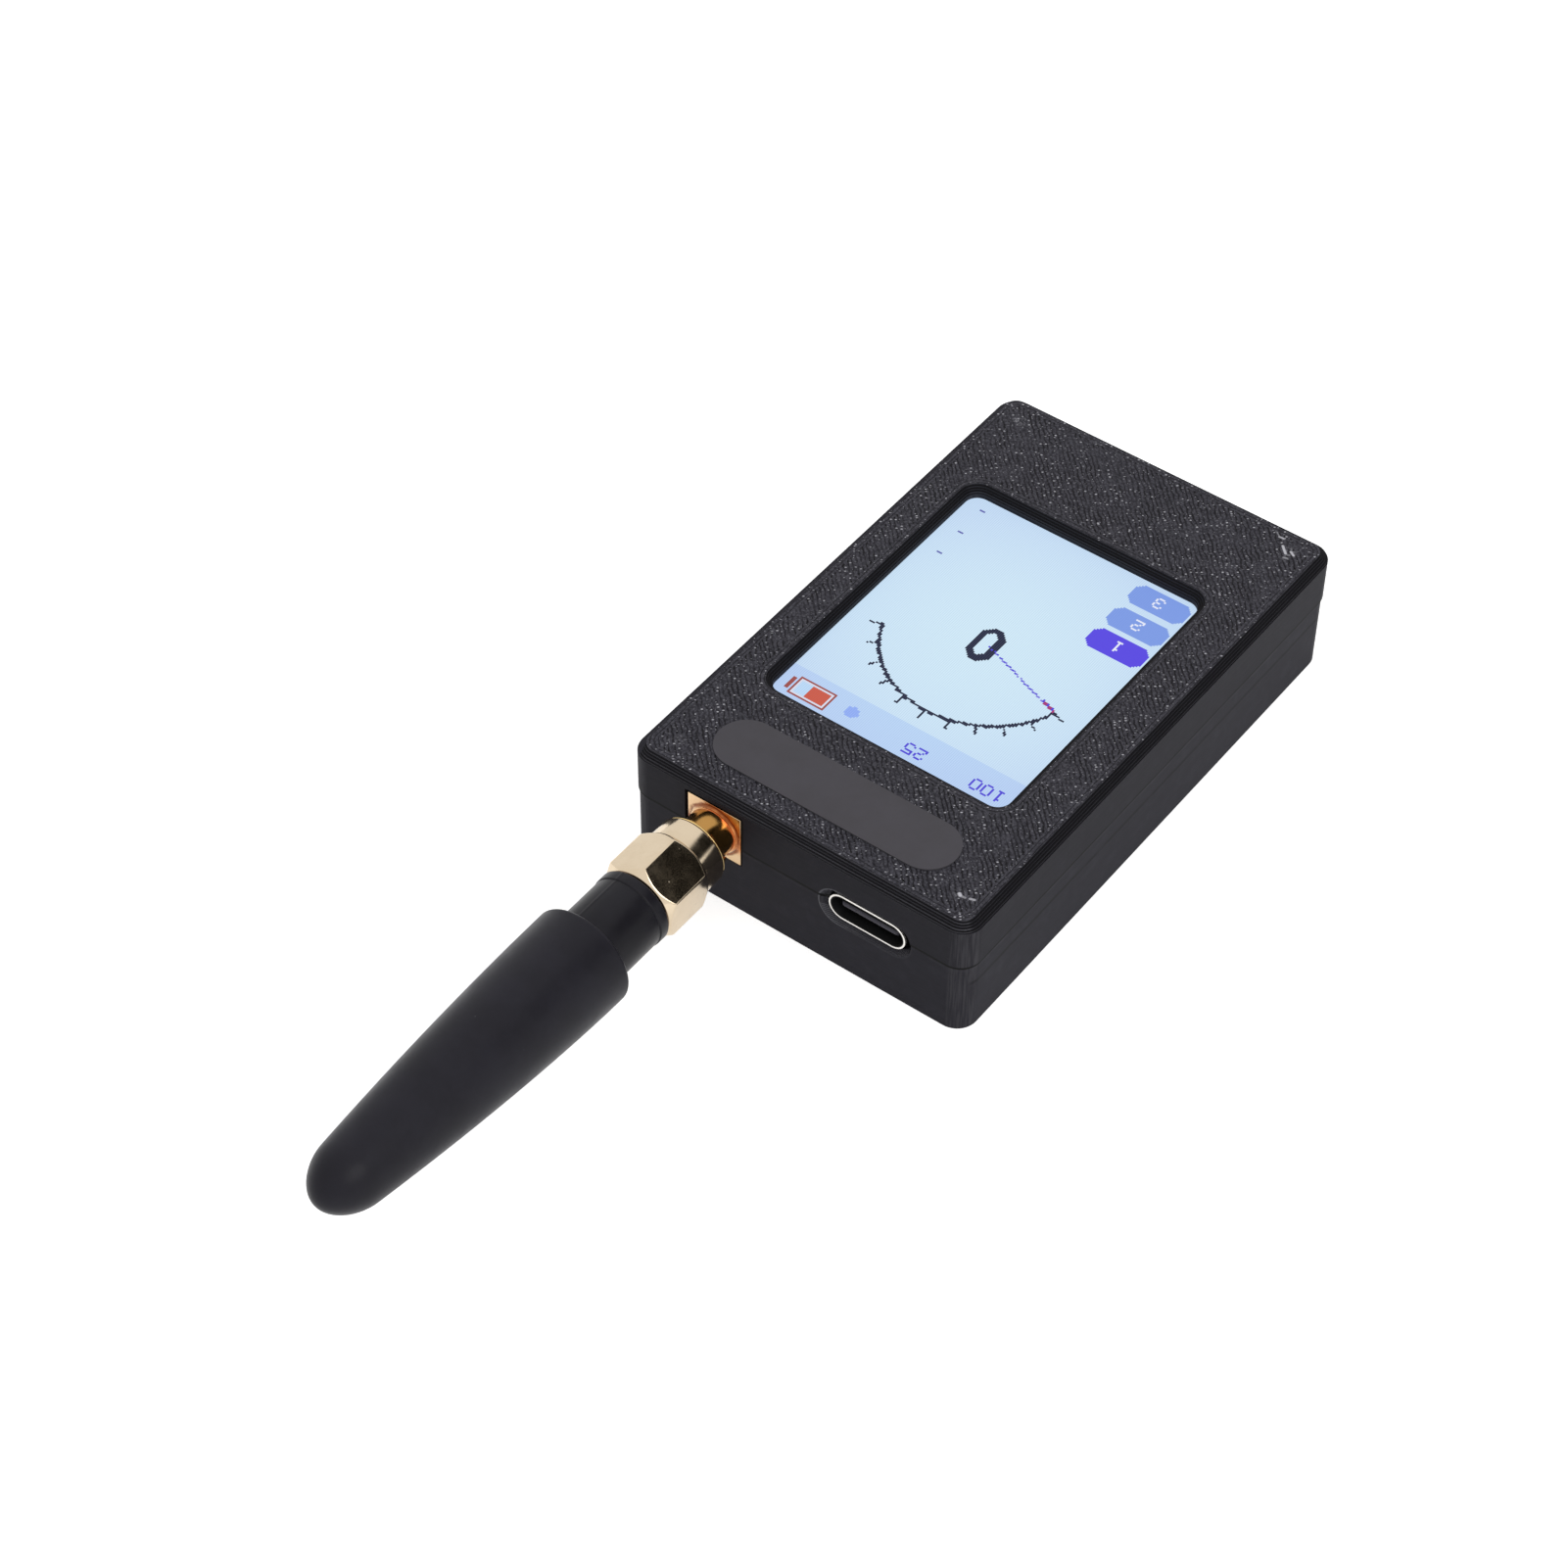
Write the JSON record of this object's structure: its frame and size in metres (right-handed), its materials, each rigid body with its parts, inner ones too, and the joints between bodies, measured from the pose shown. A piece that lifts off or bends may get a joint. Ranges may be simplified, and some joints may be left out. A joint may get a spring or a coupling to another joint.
{
  "type": "field strength meter",
  "caption": "Pocket field strength meter: a printed two-shell case with a colour display, a screw-on stub antenna, a charging port, a slide switch and a select button.",
  "frame": {"origin": "centre of the case's flat back face", "axes": "+Z out through the display, -Y along the antenna from the case's end face, +X towards the charging port"},
  "size_m": [0.0407, 0.1224, 0.0152],
  "materials": {
    "case_print": "3D-printed charcoal plastic: fine layer lines on the sides, pebbled face",
    "screw_black": "blackened steel, cross recess",
    "label_film": "matt dark grey film, blank",
    "lcd_glass": "lit display glass, pale blue",
    "light_guide": "white moulded frame",
    "flex_film": "amber film",
    "board_laminate": "green solder mask",
    "chip_black": "matt moulded epoxy",
    "tin_plate": "tinned sheet",
    "connector_ivory": "ivory nylon",
    "lead_red": "silicone insulation",
    "lead_black": "silicone insulation",
    "pouch_foil": "laminated foil",
    "foam_tape": "closed-cell foam",
    "port_steel": "nickel plated shell",
    "port_plastic": "black moulding",
    "gold_plate": "polished gold plate",
    "ptfe": "white PTFE",
    "control_plastic": "black moulded plastic",
    "seal_rubber": "red silicone",
    "antenna_plastic": "satin black moulding with a mould seam",
    "antenna_rubber": "satin black elastomer",
    "spring_wire": "drawn wire"
  },
  "bodies": {
    "case": {"front_cover": "case_print", "rear_case": "case_print", "case_screws": "screw_black", "blank_label": "label_film", "lcd_glass": "lcd_glass", "lcd_backlight": "light_guide", "lcd_flex": "flex_film", "main_board": "board_laminate", "microcontroller": "chip_black", "shield_can": "tin_plate", "board_parts": "chip_black", "battery_socket": "connector_ivory", "battery_plug": "connector_ivory", "battery_lead_red": "lead_red", "battery_lead_black": "lead_black", "battery_cell": "pouch_foil", "battery_pad": "foam_tape", "port_shell": "port_steel", "port_tongue": "port_plastic", "antenna_jack": "gold_plate", "jack_insulator": "ptfe", "jack_contact": "gold_plate", "switch_body": "tin_plate", "tact_switch": "tin_plate"},
    "seal": {"seal_ring": "seal_rubber"},
    "nut": {"coupling_nut": "gold_plate"},
    "antenna": {"antenna_ferrule": "gold_plate", "antenna_insulator": "ptfe", "antenna_pin": "gold_plate", "antenna_base": "antenna_plastic", "antenna_sleeve": "antenna_rubber", "antenna_coil": "spring_wire"},
    "slider": {"power_slider": "control_plastic"},
    "button": {"select_button": "control_plastic", "tact_plunger": "control_plastic"}
  },
  "joints": [
    {"name": "antenna_travel", "type": "slide", "parent": "case", "child": "seal", "axis": [0, -1, 0], "range_m": [0, 0.00635]},
    {"name": "nut_turn", "type": "hinge", "parent": "seal", "child": "nut", "pos_m": [-0.0096, -0.0326, 0.00975], "axis": [0, -1, 0], "range_deg": [0, 3240]},
    {"name": "antenna_turn", "type": "hinge", "parent": "seal", "child": "antenna", "pos_m": [-0.0096, -0.0326, 0.00975], "axis": [0, -1, 0], "continuous": true},
    {"name": "power_slide", "type": "slide", "parent": "case", "child": "slider", "axis": [0, 1, 0], "range_m": [0, 0.002]},
    {"name": "button_press", "type": "slide", "parent": "case", "child": "button", "axis": [1, 0, 0], "range_m": [0, 0.00035], "stiffness_N_per_m": 400}
  ],
  "couplings": [
    {"joint": "nut_turn", "follows": "antenna_travel", "rad_per_m": 8904.7}
  ]
}
